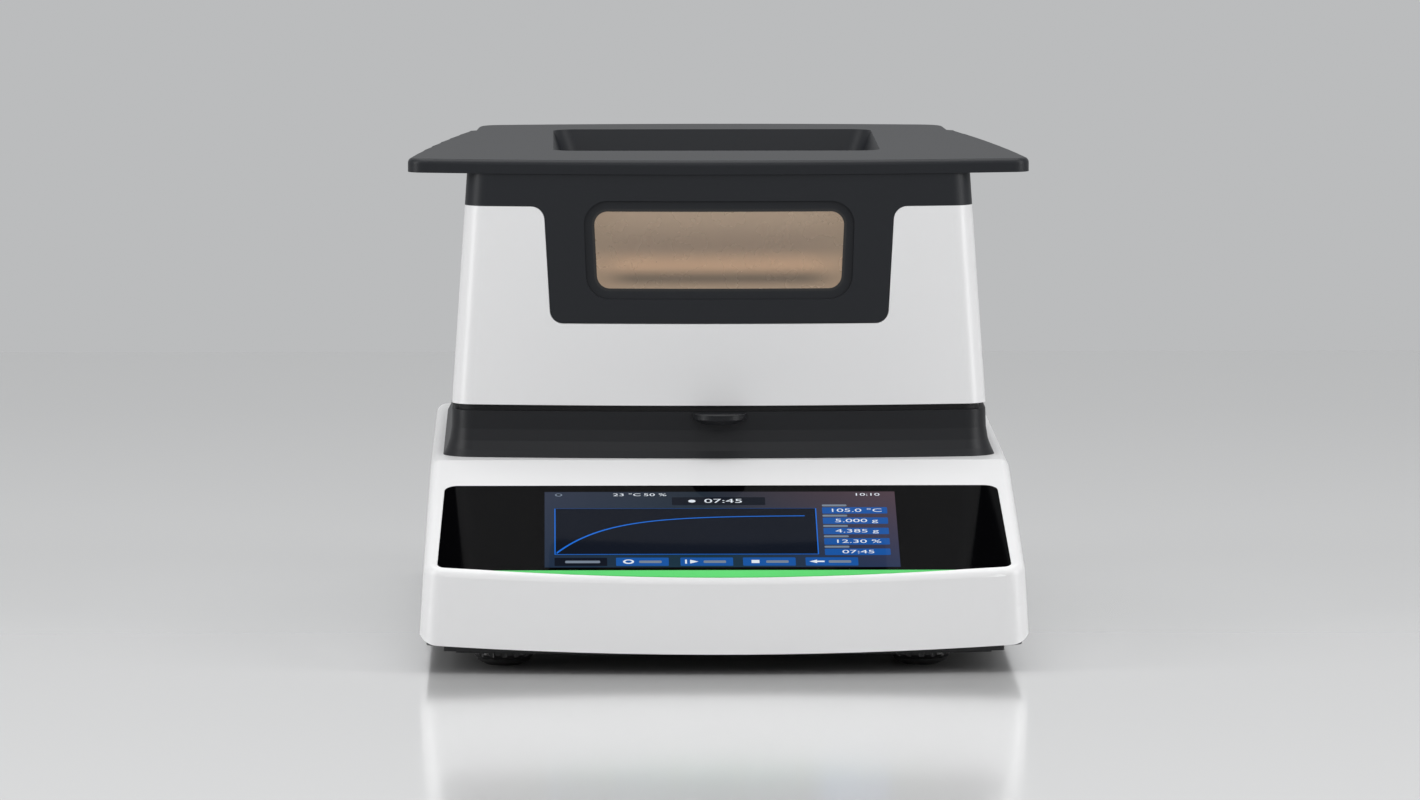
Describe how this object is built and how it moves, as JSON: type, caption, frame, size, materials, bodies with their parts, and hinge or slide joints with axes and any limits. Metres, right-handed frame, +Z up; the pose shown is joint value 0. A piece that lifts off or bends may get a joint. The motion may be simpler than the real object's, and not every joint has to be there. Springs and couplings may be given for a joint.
{
  "type": "moisture analyzer",
  "caption": "Bench moisture analyzer: low wedge base with a sloping touch screen, and a hinged heating hood with side wings and a small window over the weighing chamber.",
  "frame": {"origin": "on the table under the middle of the object's box", "axes": "+X to the right seen from the front, +Y to the back, +Z up"},
  "size_m": [0.2772, 0.4, 0.2122],
  "materials": {
    "white_housing": "satin white moulding",
    "charcoal_cover": "satin charcoal moulding",
    "collar_plastic": "satin charcoal moulding",
    "base_plate_metal": "black textured paint",
    "screen_glass": "black printed cover glass",
    "lcd_metal": "bare",
    "board": "solder mask",
    "light_bar": "frosted, lit green",
    "seal_rubber": "matt",
    "bright_steel": "bright",
    "reflector_metal": "polished",
    "pan_aluminium": "pressed foil",
    "carrier_steel": "satin",
    "lifter_plastic": "satin",
    "cell_aluminium": "machined",
    "insert_brass": "knurled",
    "screw_steel": "zinc",
    "foot_rubber": "matt",
    "foot_plastic": "satin",
    "panel_metal": "textured paint",
    "black_plastic": "satin",
    "rocker_plastic": "gloss",
    "guard_wire": "bright",
    "level_acrylic": "clear, tinted liquid",
    "window_smoke": "smoked",
    "lamp_quartz": "clear quartz",
    "socket_ceramic": "glazed"
  },
  "bodies": {
    "base": {"base_housing": "white_housing", "base_plate": "base_plate_metal", "touch_glass": "screen_glass", "lcd_module": "lcd_metal", "display_board": "board", "status_light": "light_bar", "light_board": "board", "chamber_collar": "collar_plastic", "chamber_seal": "seal_rubber", "heat_shield": "bright_steel", "draft_ring": "carrier_steel", "load_cell": "cell_aluminium", "load_cell_bracket": "cell_aluminium", "main_board": "board", "power_supply": "bright_steel", "foot_inserts": "insert_brass", "base_screws": "screw_steel", "rear_panel": "panel_metal", "power_inlet": "black_plastic", "inlet_pins": "insert_brass", "rocker_frame": "black_plastic", "data_port": "bright_steel", "fan_frame": "black_plastic", "fan_guard": "guard_wire", "bubble_level": "level_acrylic", "hinge_bracket_left": "collar_plastic", "hinge_pin_left": "screw_steel", "hinge_bracket_right": "collar_plastic", "hinge_pin_right": "screw_steel"},
    "lid": {"hood_shell": "white_housing", "top_cover": "charcoal_cover", "vent_grille": "charcoal_cover", "window_glass": "window_smoke", "window_frame": "seal_rubber", "hood_lining": "bright_steel", "lamp": "lamp_quartz", "lamp_sockets": "socket_ceramic", "reflector": "reflector_metal", "lamp_clips": "screw_steel", "lamp_guard": "bright_steel", "temperature_probe": "screw_steel", "hinge_knuckle_left": "collar_plastic", "hinge_knuckle_right": "collar_plastic", "hinge_screws": "screw_steel"},
    "pan_carrier": {"pan_carrier": "carrier_steel"},
    "sample_pan": {"sample_pan": "pan_aluminium"},
    "pan_lifter": {"pan_lifter": "lifter_plastic"},
    "power_rocker": {"power_rocker": "rocker_plastic"},
    "fan_rotor": {"fan_rotor": "black_plastic"},
    "foot_pad_front_left": {"foot_pad_front_left": "foot_rubber"},
    "foot_screw_front_left": {"foot_screw_front_left": "foot_plastic"},
    "foot_pad_front_right": {"foot_pad_front_right": "foot_rubber"},
    "foot_screw_front_right": {"foot_screw_front_right": "foot_plastic"},
    "foot_pad_rear_left": {"foot_pad_rear_left": "foot_rubber"},
    "foot_screw_rear_left": {"foot_screw_rear_left": "foot_plastic"},
    "foot_pad_rear_right": {"foot_pad_rear_right": "foot_rubber"},
    "foot_screw_rear_right": {"foot_screw_rear_right": "foot_plastic"}
  },
  "joints": [
    {"name": "hood_hinge", "type": "hinge", "parent": "base", "child": "lid", "pos_m": [0, 0.187, 0.097], "axis": [-1, 0, 0], "range_deg": [0, 75]},
    {"name": "weighing_travel", "type": "slide", "parent": "base", "child": "pan_carrier", "axis": [0, 0, 1], "range_m": [-0.0005, 0], "stiffness_N_per_m": 4000},
    {"name": "lifter_lift", "type": "slide", "parent": "base", "child": "pan_lifter", "axis": [0, 0, 1], "range_m": [0, 0.012]},
    {"name": "pan_lift", "type": "slide", "parent": "pan_carrier", "child": "sample_pan", "axis": [0, 0, 1], "range_m": [0, 0.012]},
    {"name": "rocker_tip", "type": "hinge", "parent": "base", "child": "power_rocker", "pos_m": [0.044, 0.1918, 0.044], "axis": [1, 0, 0], "range_deg": [-20, 0]},
    {"name": "fan_spin", "type": "hinge", "parent": "base", "child": "fan_rotor", "pos_m": [-0.062, 0.18, 0.044], "axis": [0, 1, 0], "continuous": true},
    {"name": "foot_rise_front_left", "type": "slide", "parent": "base", "child": "foot_pad_front_left", "axis": [0, 0, -1], "range_m": [0, 0.004]},
    {"name": "foot_turn_front_left", "type": "hinge", "parent": "foot_pad_front_left", "child": "foot_screw_front_left", "pos_m": [-0.0955, -0.156, 0.005], "axis": [0, 0, 1], "range_deg": [0, 1150]},
    {"name": "foot_rise_front_right", "type": "slide", "parent": "base", "child": "foot_pad_front_right", "axis": [0, 0, -1], "range_m": [0, 0.004]},
    {"name": "foot_turn_front_right", "type": "hinge", "parent": "foot_pad_front_right", "child": "foot_screw_front_right", "pos_m": [0.086, -0.156, 0.005], "axis": [0, 0, 1], "range_deg": [0, 1150]},
    {"name": "foot_rise_rear_left", "type": "slide", "parent": "base", "child": "foot_pad_rear_left", "axis": [0, 0, -1], "range_m": [0, 0.004]},
    {"name": "foot_turn_rear_left", "type": "hinge", "parent": "foot_pad_rear_left", "child": "foot_screw_rear_left", "pos_m": [-0.095, 0.145, 0.005], "axis": [0, 0, 1], "range_deg": [0, 1150]},
    {"name": "foot_rise_rear_right", "type": "slide", "parent": "base", "child": "foot_pad_rear_right", "axis": [0, 0, -1], "range_m": [0, 0.004]},
    {"name": "foot_turn_rear_right", "type": "hinge", "parent": "foot_pad_rear_right", "child": "foot_screw_rear_right", "pos_m": [0.095, 0.145, 0.005], "axis": [0, 0, 1], "range_deg": [0, 1150]}
  ],
  "couplings": [
    {"joint": "pan_lift", "follows": "lifter_lift", "ratio": 1},
    {"joint": "foot_rise_front_left", "follows": "foot_turn_front_left", "m_per_rad": 0.00019894},
    {"joint": "foot_rise_front_right", "follows": "foot_turn_front_right", "m_per_rad": 0.00019894},
    {"joint": "foot_rise_rear_left", "follows": "foot_turn_rear_left", "m_per_rad": 0.00019894},
    {"joint": "foot_rise_rear_right", "follows": "foot_turn_rear_right", "m_per_rad": 0.00019894}
  ]
}
